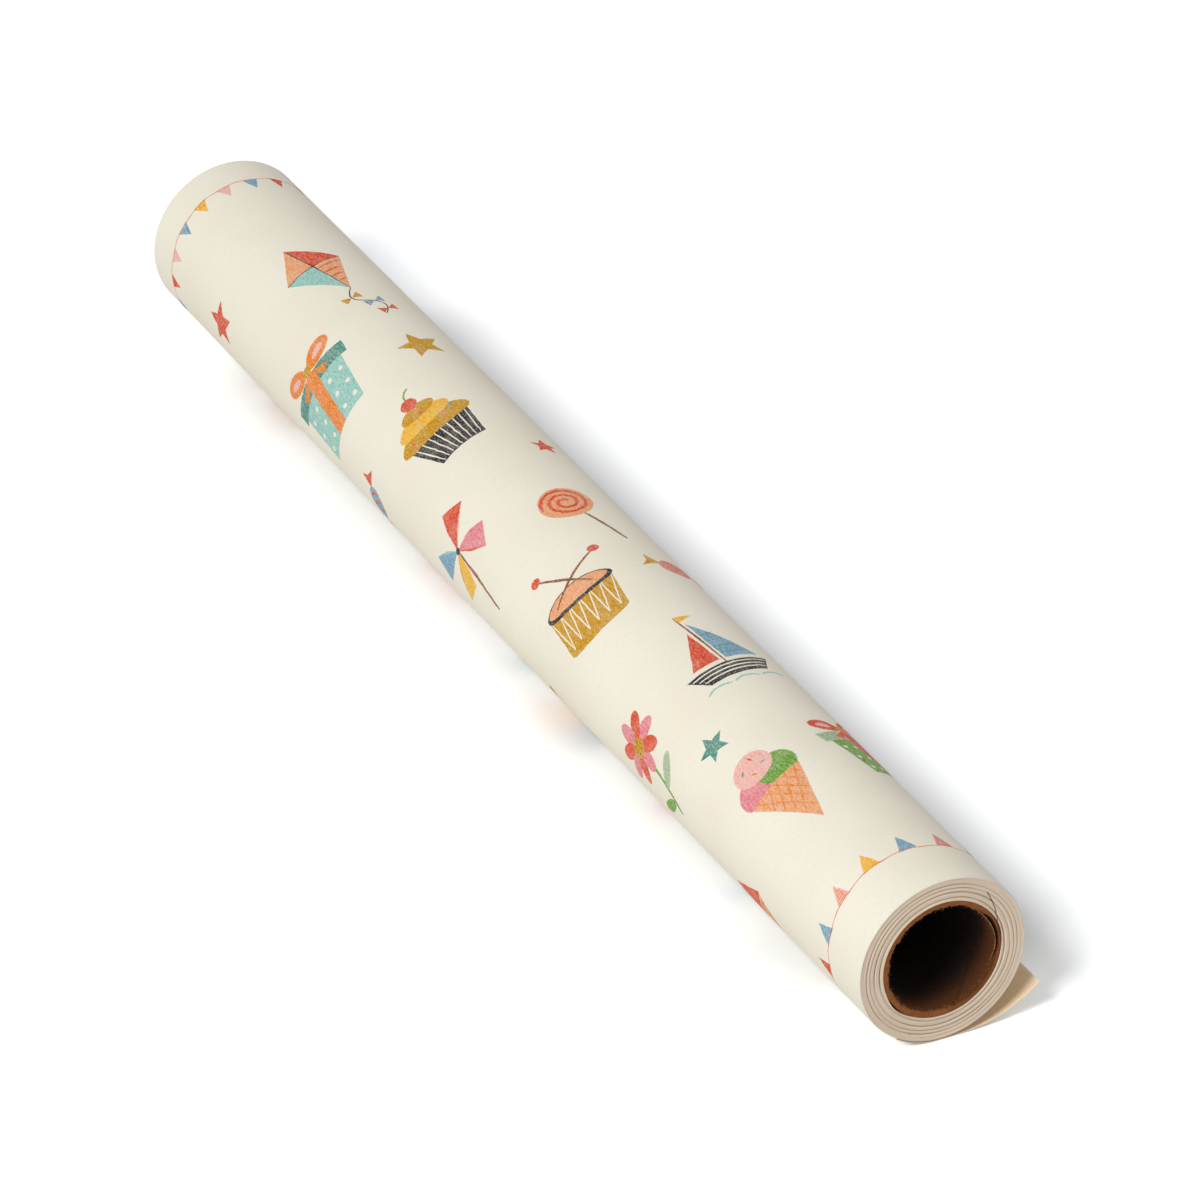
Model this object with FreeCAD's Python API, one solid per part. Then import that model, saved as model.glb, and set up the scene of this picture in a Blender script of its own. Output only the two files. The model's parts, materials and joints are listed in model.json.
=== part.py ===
import FreeCAD, Part

import math
import os

# Wrapping paper roll: one long sheet wound on a board core, with its outer end loose.
# The axis lies along X with the origin at mid-length, +Z is up, and the loose end leaves at
# the bottom towards +Y. Sizes are in millimetres, and angles in degrees from +Y towards +Z.

# Core
roll_width = 500.0  # length of the core and width of the sheet
bore_radius = 17.5
ply_thick = 0.535
glue_line = 0.02  # between two plies
ply_names = ("core_liner_ply", "core_inner_ply", "core_middle_ply", "core_outer_ply")
core_play = 0.3  # between the core and the first turn

# Sheet on the roll
paper_thick = 0.1
turns_per_lap = 5.1  # each modelled lap stands for this many turns of the sheet
lap_air = 0.03  # air between neighbouring laps
first_turn_air = 0.08  # the turn next to the core is looser
groove = 0.1  # extra air where a dark groove shows on the end faces
inner_end_angle = 50.9  # where the sheet's inner end lies on the core
half_laps = {
    "innermost_turns": 2,
    "inner_turns": 6,
    "middle_turns": 5,
    "outer_turns": 4,
    "outermost_turns": 7,
}

# Stretch that the roll lies on
roll_play = 0.2  # between the turning roll and the stretch under it
lay_angle = 238.0  # where the stretch under the roll begins
flat_angle = 4.0  # from straight down, where the weight begins to press the sheet flat
flat_end = 1.6  # how far past the axis this stretch goes
run_length = 0.6  # of sheet pulled off the roll, at rest
flex_gap = 0.06  # between two stretches of the sheet that part or bend

# Loose end
lead_length = 3.6  # flat start of the loose end
curl_names = ("loose_end_root", "loose_end_middle", "loose_end_edge")
curl_radii = (42.0, 36.0, 48.0)
curl_lengths = (10.0, 9.2, 10.6)

ply_pitch = ply_thick + glue_line
core_radius = bore_radius + len(ply_names) * ply_pitch - glue_line
turn_pitch = paper_thick + first_turn_air
lap_thick = turns_per_lap * paper_thick
lap_pitch = lap_thick + lap_air
ALONG = FreeCAD.Vector(roll_width, 0, 0)


def point(y, z):
    """A point on the end face at -X, where every profile is drawn."""
    return FreeCAD.Vector(-roll_width / 2, y, z)


def polar(radius, degrees):
    angle = math.radians(degrees)
    return point(radius * math.cos(angle), radius * math.sin(angle))


def line(start, end):
    return Part.LineSegment(start, end).toShape()


def arc(start, middle, end):
    return Part.Arc(start, middle, end).toShape()


def across_width(edges):
    """The closed profile, run from one end of the roll to the other."""
    return Part.Face(Part.Wire(Part.__sortEdges__(edges))).extrude(ALONG)


# Core


def core_ply(index):
    """One ply of the core, a tube glued over the ply inside it."""
    inner = bore_radius + index * ply_pitch
    start = FreeCAD.Vector(-roll_width / 2, 0, 0)
    tube = Part.makeCylinder(inner + ply_thick, roll_width, start, ALONG)
    return tube.cut(Part.makeCylinder(inner, roll_width, start, ALONG))


# Sheet on the roll


def steps(first, pitch, count):
    """Distances from the axis at the start of a spiral and after each of its half turns."""
    return [first + pitch * index / 2 for index in range(count + 1)]


def spiral(crossings, from_top, start_angle=None):
    """Half circles that meet straight above and below the axis, at these distances from it.

    With a start angle, a short arc from there leads up to the first one.
    """
    edges = []
    up = 1 if from_top else -1
    for near, far in zip(crossings, crossings[1:]):
        height = up * (near - far) / 2
        radius = (near + far) / 2
        if start_angle is not None and not edges:
            rise = FreeCAD.Vector(0, 0, height)
            lead_in = [polar(radius, start_angle + share * (90 - start_angle)) for share in (0, 0.5)]
            edges.append(arc(lead_in[0] + rise, lead_in[1] + rise, point(0, near)))
        edges.append(arc(point(0, up * near), point(-up * radius, height), point(0, -up * far)))
        up = -up
    return edges


def wound_strip(crossings, thick, from_top, start_angle=None):
    """A strip of this thickness whose inside runs through the crossings."""
    inside = spiral(crossings, from_top, start_angle)
    outside = spiral([distance + thick for distance in crossings], from_top, start_angle)
    first_end = line(inside[0].firstVertex(True).Point, outside[0].firstVertex(True).Point)
    last_end = line(inside[-1].lastVertex(True).Point, outside[-1].lastVertex(True).Point)
    return across_width(inside + outside + [first_end, last_end])


def wound_sheet():
    """The strips from the sheet's inner end to its printed last turn, and the roll's radius."""
    first_turn = steps(core_radius + core_play, turn_pitch, 3)
    strips = {"first_turn": wound_strip(first_turn, paper_thick, True, inner_end_angle)}
    distance = first_turn[-1]
    from_top = False
    for name, count in half_laps.items():
        bundle = steps(distance, lap_pitch, count)
        strips[name] = wound_strip(bundle, lap_thick, from_top)
        distance = bundle[-1] + groove
        from_top = from_top != (count % 2 == 1)
    last_turn = steps(distance, lap_pitch, 2)
    strips["printed_turn"] = wound_strip(last_turn, paper_thick, from_top)
    return strips, last_turn[-1] + paper_thick


# Stretch that the roll lies on, and the loose end


def laid_stretch(radius, upper, lower):
    """The sheet under the roll, which hugs it from the left and is pressed flat below it."""
    flat_start = 270 - flat_angle
    middle = (lay_angle + flat_start) / 2
    inside = [polar(radius, angle) for angle in (lay_angle, middle, flat_start)]
    outer = radius + paper_thick
    outside = [polar(outer, angle) for angle in (lay_angle, middle, flat_start)]
    edges = [arc(*inside), arc(*outside), line(inside[0], outside[0])]
    edges.append(line(inside[-1], point(flat_end, upper)))
    edges.append(line(outside[-1], point(flat_end, lower)))
    edges.append(line(point(flat_end, upper), point(flat_end, lower)))
    return across_width(edges)


def flat_sheet(start, length, upper, lower):
    corners = [point(start, lower), point(start + length, lower)]
    corners += [point(start + length, upper), point(start, upper)]
    sides = zip(corners, corners[1:] + corners[:1])
    return across_width([line(a, b) for a, b in sides])


def along(place, slope, distance):
    """The point this far on from a place, in the direction of the slope."""
    angle = math.radians(slope)
    return place + FreeCAD.Vector(0, distance * math.cos(angle), distance * math.sin(angle))


def curled_stretch(place, slope, radius, length, thick):
    """An arc that curls up from a place on its underside, with its end and its end slope."""
    centre = along(place, slope + 90, radius)
    turned = math.degrees(length / radius)
    under = [along(centre, slope - 90 + turned * share, radius) for share in (0, 0.5, 1)]
    over = [along(centre, slope - 90 + turned * share, radius - thick) for share in (0, 0.5, 1)]
    edges = [arc(*under), arc(*over), line(under[0], over[0]), line(under[-1], over[-1])]
    return across_width(edges), under[-1], slope + turned


def loose_end(start, upper, lower):
    """The stretches of the loose end, and the lines along X on which it bends."""
    thick = upper - lower
    place = point(start + lead_length, lower)
    slope = 0.0
    stretches = {}
    bends = []
    for name, radius, length in zip(curl_names, curl_radii, curl_lengths):
        if stretches:
            middle = along(place, slope, flex_gap / 2)
            bends.append(along(middle, slope + 90, thick / 2))
            place = along(place, slope, flex_gap)
        stretches[name], place, slope = curled_stretch(place, slope, radius, length, thick)
    lead = flat_sheet(start, lead_length, upper, lower)
    stretches[curl_names[0]] = stretches[curl_names[0]].fuse(lead).removeSplitter()
    return stretches, bends


def build():
    """Every node by name, the roll's radius, and the bend lines of the loose end."""
    nodes = {name: core_ply(index) for index, name in enumerate(ply_names)}
    strips, roll_radius = wound_sheet()
    nodes.update(strips)
    hug_radius = roll_radius + roll_play
    upper = -hug_radius * math.cos(math.radians(flat_angle))
    lower = -(hug_radius + paper_thick) * math.cos(math.radians(flat_angle))
    nodes["sheet_under_roll"] = laid_stretch(hug_radius, upper, lower)
    run_start = flat_end + flex_gap
    nodes["paid_out_run"] = flat_sheet(run_start, run_length, upper, lower)
    lead_start = run_start + run_length + flex_gap
    stretches, bends = loose_end(lead_start, upper, lower)
    nodes.update(stretches)
    return nodes, roll_radius, bends


os.makedirs("parts", exist_ok=True)
nodes, roll_radius, bends = build()
for name, shape in nodes.items():
    shape.exportStep("parts/" + name + ".step")
    print(name, "valid" if shape.isValid() else "NOT VALID", len(shape.Solids), "solid")
print("roll radius", round(roll_radius, 3))
print("bend lines", [(round(bend.y, 3), round(bend.z, 3)) for bend in bends])
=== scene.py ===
import json
import math
import random

import bpy
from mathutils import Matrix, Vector, noise
from mathutils.geometry import delaunay_2d_cdt


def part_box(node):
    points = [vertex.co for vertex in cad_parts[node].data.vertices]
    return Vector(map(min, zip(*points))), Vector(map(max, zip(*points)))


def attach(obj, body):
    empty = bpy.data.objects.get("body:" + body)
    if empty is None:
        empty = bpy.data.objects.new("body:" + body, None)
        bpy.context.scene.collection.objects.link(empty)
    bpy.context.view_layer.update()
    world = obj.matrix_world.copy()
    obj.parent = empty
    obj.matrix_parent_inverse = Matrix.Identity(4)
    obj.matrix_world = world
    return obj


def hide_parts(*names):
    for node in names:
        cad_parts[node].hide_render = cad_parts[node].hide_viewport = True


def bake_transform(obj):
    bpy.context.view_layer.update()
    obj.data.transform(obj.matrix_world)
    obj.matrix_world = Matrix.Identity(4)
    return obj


# Dresses a wrapping paper roll. Lengths are in millimetres until a mesh, a light or the floor is
# made, and angles are in degrees about the roll's axis, from +Y towards +Z. On the flat sheet, u is
# the place along the roll's axis and v the place along the sheet.

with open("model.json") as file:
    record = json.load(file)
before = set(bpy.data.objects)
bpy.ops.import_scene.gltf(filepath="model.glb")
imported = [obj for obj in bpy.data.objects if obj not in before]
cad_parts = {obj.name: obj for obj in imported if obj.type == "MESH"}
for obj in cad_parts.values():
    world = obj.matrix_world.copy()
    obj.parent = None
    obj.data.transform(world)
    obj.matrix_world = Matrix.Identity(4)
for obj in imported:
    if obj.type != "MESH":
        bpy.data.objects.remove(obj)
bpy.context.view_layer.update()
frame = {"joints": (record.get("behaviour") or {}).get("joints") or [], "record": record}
bodies = frame["record"]["behaviour"]["bodies"]
joints = {joint["name"]: joint for joint in frame["joints"]}

MM = 0.001
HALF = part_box("printed_turn")[1].x / MM  # half the sheet's width
ROLL_R = -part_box("printed_turn")[0].z / MM
CORE_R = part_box("core_outer_ply")[1].z / MM
BORE_R = frame["record"]["mounts"][0]["dims"]["r_mm"]
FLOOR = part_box("sheet_under_roll")[0].z / MM
PAPER = 0.1  # thickness of the sheet
RIM = 0.75  # width of the roll's soft rims

# The laid sheet, with places along it counted from under the axis
LAY_ANGLE = 238.0  # where it begins, round the roll
LAID_R = ROLL_R + 0.25  # of its middle surface, where it goes round the roll
RUN = (1.66, 2.32)  # the stretch that is paid out
LEAD = 5.92  # where the loose end starts to curl
CURLS = ((42.0, 10.0), (36.0, 9.2), (48.0, 10.6))  # radius and length of its stretches
FLEX = 0.06  # between two stretches
BEND_REACH = 3.5  # of a bend, on both sides of its line
TIP = LEAD + sum(length for _, length in CURLS) + 2 * FLEX
REPEAT = 2 * math.pi * ROLL_R  # of the print along the sheet
PULL = joints["sheet_pull"]["range_m"][1] / MM

# Cut ends and core
GROOVES = (  # radius, depth, width
    (25.25, 0.6, 0.16),
    (24.05, 0.6, 0.16),
    (22.6, 0.7, 0.2),
    (20.85, 0.8, 0.2),
)
GROOVE_DRIFT = 0.13  # outwards, of a groove in one turn
SLIT = ((24.4, 53.0), (20.3, 25.0))  # of the sheet's inner end: radius and angle of both ends
TURN_PITCH = 0.13  # the sheet and the air between two turns
TORN_AT, TORN_REACH = 12, 34  # angle of the gap in the core's outer plies, and half its width
SEAM_PITCH = 92.0  # of the core's strips, along its axis

random.seed(11)
noise.seed_set(14)  # for noise_vector; with it, the cut sheet has no slivers


def smooth(t):
    """From 0 to 1 without a kink at either end."""
    return t * t * (3 - 2 * t)


def spun(x, radius, a):
    """The point at this radius and angle in radians."""
    return x, radius * math.cos(a), radius * math.sin(a)


def closed_rings(count, length):
    """Faces of a closed skin, from the same closed line of points at each of these angles."""
    faces = []
    for i in range(count):
        a, b = i * length, (i + 1) % count * length
        for k in range(length):
            after = (k + 1) % length
            faces.append((a + k, b + k, b + after, a + after))
    return faces


def srgb(r, g, b):
    """A screen colour of 0 to 255 as linear RGBA."""
    values = [c / 255 for c in (r, g, b)]
    return (*[c / 12.92 if c <= 0.04045 else ((c + 0.055) / 1.055) ** 2.4 for c in values], 1.0)


INKS = {  # of the print
    "coral": srgb(222, 84, 50),
    "orange": srgb(236, 140, 48),
    "mustard": srgb(208, 156, 6),
    "yellow": srgb(244, 190, 62),
    "peach": srgb(240, 172, 122),
    "pink": srgb(232, 142, 150),
    "rose": srgb(244, 190, 180),
    "teal": srgb(84, 152, 138),
    "aqua": srgb(160, 208, 198),
    "blue": srgb(130, 172, 194),
    "green": srgb(118, 166, 66),
    "sage": srgb(176, 196, 160),
    "black": srgb(34, 30, 36),
    "brown": srgb(150, 96, 60),
}


# Motifs, each a list of (ink, outline) with its own right and up. Where the ink is None, the paper
# shows.


def ellipse(x, y, width, height, tilt=0.0, count=26):
    c, s = math.cos(math.radians(tilt)), math.sin(math.radians(tilt))
    outline = []
    for i in range(count):
        a = 2 * math.pi * i / count
        dx, dy = width / 2 * math.cos(a), height / 2 * math.sin(a)
        outline.append((x + dx * c - dy * s, y + dx * s + dy * c))
    return outline


def polar(radius, degrees):
    a = math.radians(degrees)
    return radius * math.cos(a), radius * math.sin(a)


def rectangle(left, low, right, high):
    return [(left, low), (right, low), (right, high), (left, high)]


def stroke(points, width):
    """A pencil line of this width, thinner at its ends."""
    sides = [[], []]
    for i, (x, y) in enumerate(points):
        ahead, behind = points[min(i + 1, len(points) - 1)], points[max(i - 1, 0)]
        dx, dy = ahead[0] - behind[0], ahead[1] - behind[1]
        size = math.hypot(dx, dy) or 1.0
        half = width / 2 * (0.6 if i in (0, len(points) - 1) else 1.0)
        sides[0].append((x - dy / size * half, y + dx / size * half))
        sides[1].append((x + dy / size * half, y - dx / size * half))
    return sides[0] + sides[1][::-1]


def curve(start, bow, end, count=9):
    """Points on a curve from start to end that is pulled towards bow."""
    points = []
    for i in range(count):
        t = i / (count - 1)
        a, b, c = (1 - t) ** 2, 2 * t * (1 - t), t * t
        points.append(tuple(a * p + b * q + c * r for p, q, r in zip(start, bow, end)))
    return points


def gift_box(box, lid, ribbon):
    shapes = [(box, rectangle(-14, -15, 14, 8)), (lid, rectangle(-16.5, 8, 16.5, 14))]
    for column in range(5):
        for row in range(3):
            shapes.append((None, ellipse(-11.5 + 5.75 * column, -11 + 7 * row, 2.0, 2.0, count=10)))
    shapes.append((ribbon, rectangle(-3, -15, 3, 14)))
    for side in (-1, 1):
        shapes.append((ribbon, ellipse(side * 7, 18.5, 13, 7.5, side * 24)))
        shapes.append(("rose", ellipse(side * 7.4, 18.6, 6.5, 2.8, side * 24)))
        end = [(0, 15), (side * 9, 10.5), (side * 6.5, 9.2), (side * 7.2, 6.6), (side * 1.5, 13)]
        shapes.append((ribbon, end))
    shapes.append(("mustard", ellipse(0, 16, 4.6, 4.2)))
    return shapes


def cupcake():
    shapes = [("black", [(-9, -15), (9, -15), (12.5, 1), (-12.5, 1)])]
    for i in range(9):
        low, high = -7.6 + 1.9 * i, -10.8 + 2.7 * i
        shapes.append((None, stroke([(low, -14.4), ((low + high) / 2, -7), (high, 0.4)], 0.55)))
    shapes += [("mustard", ellipse(0, 3.4, 30, 10)), ("yellow", ellipse(-0.6, 8.6, 22, 8.4))]
    shapes += [("mustard", ellipse(0.4, 13, 13.5, 6.6)), ("coral", ellipse(0.6, 18, 6, 6))]
    shapes.append(("green", stroke(curve((1, 20.6), (2, 24), (5, 25)), 0.7)))
    sprinkles = ((-9, 3, "coral"), (-3, 6, "aqua"), (5, 3.4, "pink"), (9, 6, "blue"))
    for x, y, ink in (*sprinkles, (1, 11, "coral")):
        shapes.append((ink, ellipse(x, y, 1.9, 1.1, 30 * x, 8)))
    return shapes


def pinwheel():
    shapes = [("brown", stroke([(0, 0), (0.8, -14), (0.4, -31)], 1.3))]
    blade = [(0, 0), (0.6, 9), (2.6, 15), (12, 11.4), (6, 5)]
    fold = [(0, 0), (12, 11.4), (6.4, 4.8)]
    inks = (("coral", "rose"), ("blue", "aqua"), ("yellow", "mustard"), ("pink", "coral"))
    for quarter, pair in enumerate(inks):
        c, s = math.cos(math.radians(90 * quarter)), math.sin(math.radians(90 * quarter))
        for ink, outline in zip(pair, (blade, fold)):
            shapes.append((ink, [(x * c - y * s, x * s + y * c) for x, y in outline]))
    shapes.append(("black", ellipse(0, 0, 2.6, 2.6, count=12)))
    return shapes


def star(size, ink):
    return [(ink, [polar(size * (0.46 if i % 2 else 1), 90 + 36 * i) for i in range(10)])]


def kite():
    shapes = [("peach", [(0, 20), (-12, 4), (0, 4)]), ("coral", [(0, 20), (12, 4), (0, 4)])]
    shapes += [("aqua", [(-12, 4), (0, -17), (0, 4)]), ("peach", [(12, 4), (0, -17), (0, 4)])]
    for i in range(4):
        y = 1.5 - 4 * i
        reach = 12 * (y + 17) / 21
        shapes.append(("coral", stroke([(0.4, y), (reach / 2, y + 0.2), (reach - 0.5, y)], 0.9)))
    shapes.append(("black", stroke([(0, 20), (0.1, 2), (0, -17)], 0.5)))
    shapes.append(("black", stroke([(-12, 4), (0, 4.1), (12, 4)], 0.5)))
    tail = curve((0, -17), (-8, -23), (-1, -28)) + curve((-1, -28), (6, -33), (-2, -39))[1:]
    shapes.append(("black", stroke(tail, 0.5)))
    for (x, y), ink in zip((tail[4], tail[9], tail[14]), ("mustard", "blue", "coral")):
        shapes.append((ink, [(x - 3.6, y + 2), (x - 0.1, y), (x - 3.4, y - 2.2)]))
        shapes.append((ink, [(x + 3.6, y + 2.4), (x + 0.1, y), (x + 3.4, y - 2)]))
    return shapes


def ice_cream():
    shapes = [("pink", ellipse(-4.6, 7, 14.5, 13.5)), ("green", ellipse(5, 7.6, 14, 13))]
    shapes += [("rose", ellipse(0, 14.5, 14.5, 13)), ("peach", [(-10.5, 3), (10.5, 3), (0, -23)])]
    for side in (-1, 1):
        for start in (-8, -4.4, -0.8, 2.8, 6.4):
            fall = (9.6 - start) / 1.76
            middle, low = (start + fall / 2, 2.4 - 0.95 * fall), (start + fall, 2.4 - 1.9 * fall)
            line = [(side * x, y) for x, y in ((start, 2.4), middle, low)]
            shapes.append(("orange", stroke(line, 0.6)))
    for x, y, ink in ((-3, 16, "teal"), (2, 18, "coral"), (3.6, 13, "blue"), (-1, 12, "mustard")):
        shapes.append((ink, ellipse(x, y, 2.2, 0.8, 47 * x, 8)))
    return shapes


def flower():
    shapes = [("green", stroke(curve((0, 2), (4, -12), (-1, -26), 11), 1.2))]
    shapes.append(("sage", ellipse(6.4, -13, 12, 4.4, 36)))
    shapes.append(("green", ellipse(-4.6, -18, 11, 4.2, 146)))
    for i in range(8):
        a = 45.0 * i + 8
        x, y = polar(7, a)
        shapes.append(("coral" if i % 2 else "pink", ellipse(x, y + 4, 9.6, 5.4, a, 18)))
    shapes.append(("mustard", ellipse(0, 4, 7, 6.6)))
    for i in range(6):
        x, y = polar(1.9, 60 * i)
        shapes.append(("black", ellipse(x, y + 4, 0.7, 0.7, count=6)))
    return shapes


def sailing_boat():
    shapes = [("black", [(-15, -6), (15, -6), (10.5, -13.5), (-10.5, -13.5)])]
    for y, reach in ((-7.4, 13.6), (-9.3, 12.4), (-11.2, 11.3)):
        shapes.append((None, stroke([(-reach, y), (0, y + 0.1), (reach, y)], 0.75)))
    shapes.append(("brown", stroke([(0, -6), (0.2, 8), (0, 24)], 0.9)))
    shapes.append(("blue", [(1.2, -4), (13, -4), (1.2, 19)]))
    shapes.append(("coral", [(-1.2, -4), (-11, -4), (-1.2, 14)]))
    for i in range(4):
        line = [(1.6, -1 + 4 * i), (6, -0.8 + 4 * i), (11 - 2 * i, -1 + 4 * i)]
        shapes.append(("teal", stroke(line, 0.6)))
    shapes.append(("yellow", [(0, 24.5), (6, 22.6), (0, 20.6)]))
    for i in range(3):
        wave = curve((-14 + 10 * i, -17), (-10 + 10 * i, -14.4), (-5 + 10 * i, -17))
        shapes.append(("aqua", stroke(wave, 0.8)))
    return shapes


def drum():
    shapes = [("mustard", rectangle(-13, -11, 13, 7)), ("mustard", ellipse(0, -11, 26, 7.4))]
    for i in range(6):
        x = -12.6 + 4.2 * i
        shapes.append((None, stroke([(x, 5.4), (x + 1.05, -3), (x + 2.1, -10.6)], 0.55)))
        shapes.append((None, stroke([(x + 2.1, -10.6), (x + 3.15, -3), (x + 4.2, 5.4)], 0.55)))
    shapes += [("black", ellipse(0, 7, 27.4, 9)), ("peach", ellipse(0, 7.6, 24.6, 7))]
    shapes.append(("brown", stroke([(-8, 7), (2, 14), (12, 21)], 1.1)))
    shapes.append(("brown", stroke([(7, 7), (-1, 15), (-9, 23)], 1.1)))
    shapes += [("coral", ellipse(12.4, 21.4, 4, 3.6)), ("coral", ellipse(-9.4, 23.4, 4, 3.6))]
    return shapes


def sweet(ink, band):
    shapes = [(ink, ellipse(0, 0, 13, 10.4))]
    for x in (-3.4, 0, 3.4):
        top, foot = (x - 0.6, 4.4 - abs(x) / 3), (x - 0.6, -4.4 + abs(x) / 3)
        shapes.append((band, stroke(curve(top, (x + 1.6, 0), foot, 7), 1.0)))
    for side in (-1, 1):
        twist = [(side * x, y) for x, y in ((5.8, 0), (12, 4.6), (10.8, 0.4), (12.4, -4.2))]
        shapes.append((band, twist))
    return shapes


def lollipop():
    shapes = [("brown", stroke([(0, -8), (0.5, -20), (0.2, -30)], 1.3))]
    shapes.append(("peach", ellipse(0, 0, 19, 19, count=32)))
    spiral = [polar(1.3 + 0.2 * i, 24 * i) for i in range(38)]
    shapes.append(("coral", stroke(spiral, 1.3)))
    return shapes


def flag(ink, hatch=None):
    """A bunting flag that hangs from the origin."""
    shapes = [(ink, [(-3.1, 0.2), (3.1, 0.2), (0.3, -7.6)])]
    if hatch:
        for i in range(6):
            y, reach = -0.7 - 1.1 * i, 2.5 - 0.42 * i
            shapes.append((hatch, stroke([(-reach, y), (0.1, y - 0.2), (reach, y)], 0.5)))
    return shapes


def hand_drawn(outline, seed):
    """The outline, divided and shaken a little, as a pencil leaves it."""
    points = []
    for (x0, y0), (x1, y1) in zip(outline, outline[1:] + outline[:1]):
        count = max(1, round(math.hypot(x1 - x0, y1 - y0) / 1.6))
        for i in range(count):
            x, y = x0 + (x1 - x0) * i / count, y0 + (y1 - y0) * i / count
            shake = noise.noise_vector(Vector((x * 0.55, y * 0.55, seed)))
            points.append((x + 0.22 * shake.x, y + 0.22 * shake.y))
    return points


# The print: motifs stand with their tops towards -X, along the sheet at these places.

LAYOUT = (  # motif, place along X, place along the sheet, tilt, size
    (kite(), -168, 92, 14, 0.95),
    (gift_box("aqua", "teal", "orange"), -118, 122, -9, 1.0),
    (star(8.5, "mustard"), -108, 84, 12, 1.0),
    (sweet("blue", "coral"), -78, 140, 30, 0.9),
    (cupcake(), -62, 101, 8, 1.0),
    (star(5, "coral"), -34, 76, -8, 1.0),
    (pinwheel(), -18, 126, -10, 1.0),
    (lollipop(), 4, 88, 16, 0.95),
    (drum(), 52, 108, -8, 1.0),
    (sweet("pink", "mustard"), 50, 72, -24, 0.9),
    (sailing_boat(), 106, 88, 6, 1.0),
    (flower(), 112, 130, -14, 1.0),
    (star(6, "teal"), 142, 110, 10, 1.0),
    (ice_cream(), 176, 104, 9, 1.0),
    (gift_box("green", "sage", "coral"), 168, 66, 18, 0.85),
    (star(8, "coral"), -196, 132, -6, 1.0),
    (flower(), -168, 44, 10, 1.0),
    (sailing_boat(), -96, 38, -12, 1.0),
    (ice_cream(), -24, 40, -16, 0.95),
    (kite(), 62, 30, 9, 0.9),
    (cupcake(), 128, 30, -8, 0.95),
    (star(7, "mustard"), 176, 22, 4, 1.0),
    (drum(), -176, 168, 12, 0.9),
    (lollipop(), -122, 4, -10, 0.9),
    (gift_box("peach", "mustard", "teal"), -52, 172, 10, 0.95),
    (sweet("sage", "teal"), 4, 164, 18, 1.0),
    (cupcake(), 44, 158, -12, 0.95),
    (pinwheel(), 96, 172, 12, 0.95),
    (star(6, "blue"), 152, 158, 20, 1.0),
    (kite(), 186, 148, -16, 0.9),
)
BORDERS = (  # bunting: its string's place, its flags' way, size, start and inks
    (HALF - 19.7, -1, 1.0, 0.107, "rose coral yellow blue coral sage pink blue yellow peach blue "
     "coral peach blue"),
    (-HALF + 14.5, 1, 0.84, 0.85, "sage pink blue coral yellow blue peach coral blue rose yellow "
     "blue rose coral blue peach pink yellow"),
)
STRING_PIECES = 26


def one_way_round(outline):
    """The outline, turned anticlockwise."""
    area = sum(u0 * v1 - u1 * v0 for (u0, v0), (u1, v1) in zip(outline, outline[1:] + outline[:1]))
    return outline if area > 0 else outline[::-1]


def placed(shapes, u, v, tilt, size, seed):
    """A motif's outlines on the sheet."""
    c, s = math.cos(math.radians(tilt)), math.sin(math.radians(tilt))
    result = []
    for i, (ink, outline) in enumerate(shapes):
        points = hand_drawn(outline, seed + 0.37 * i)
        turned = [(size * (x * c - y * s), size * (x * s + y * c)) for x, y in points]
        result.append((ink, one_way_round([(u - y, v - x) for x, y in turned])))
    return result


def string_place(u, v):
    """Where a border's string runs: it hangs a little between its flags."""
    return u + 0.5 * math.sin(6 * math.pi * v / REPEAT) + 0.25 * math.sin(26 * math.pi * v / REPEAT)


def whole_print():
    """(ink, outline) of everything drawn on one repeat of the sheet."""
    shapes = []
    for seed, (motif, u, v, tilt, size) in enumerate(LAYOUT):
        shapes += placed(motif, u, v, tilt, size, seed)
    for u, way, size, shift, inks in BORDERS:
        inks = inks.split()
        step = REPEAT / len(inks)
        for i, ink in enumerate(inks):
            v = step * (i + shift)
            hatch = "orange" if ink == "peach" else None
            drawing = flag("rose" if hatch else ink, hatch)
            hung = placed(drawing, 0, 0, 5 * math.sin(7 * i), size, 50 + i)
            top = string_place(u, v)
            for colour, outline in hung:
                shapes.append((colour, one_way_round([(top + way * p, v + q) for p, q in outline])))
        for i in range(STRING_PIECES):
            ends = [REPEAT * (i + share) / STRING_PIECES for share in (-0.02, 0.5, 1.02)]
            line = stroke([(string_place(u, v), v) for v in ends], 0.4)
            shapes.append(("coral", one_way_round(line)))
    return shapes


PRINT = whole_print()


# Flat sheets and meshes

BANDS = 10  # across the sheet, each triangulated on its own
COLUMNS = [-HALF + 12.5 * i for i in range(1, 40)]  # lines of points along the sheet
COLUMNS = [-HALF + 0.25, -HALF + 0.7] + COLUMNS + [HALF - 0.7, HALF - 0.25]
MERGED = 1e-4  # points closer than this become one


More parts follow.
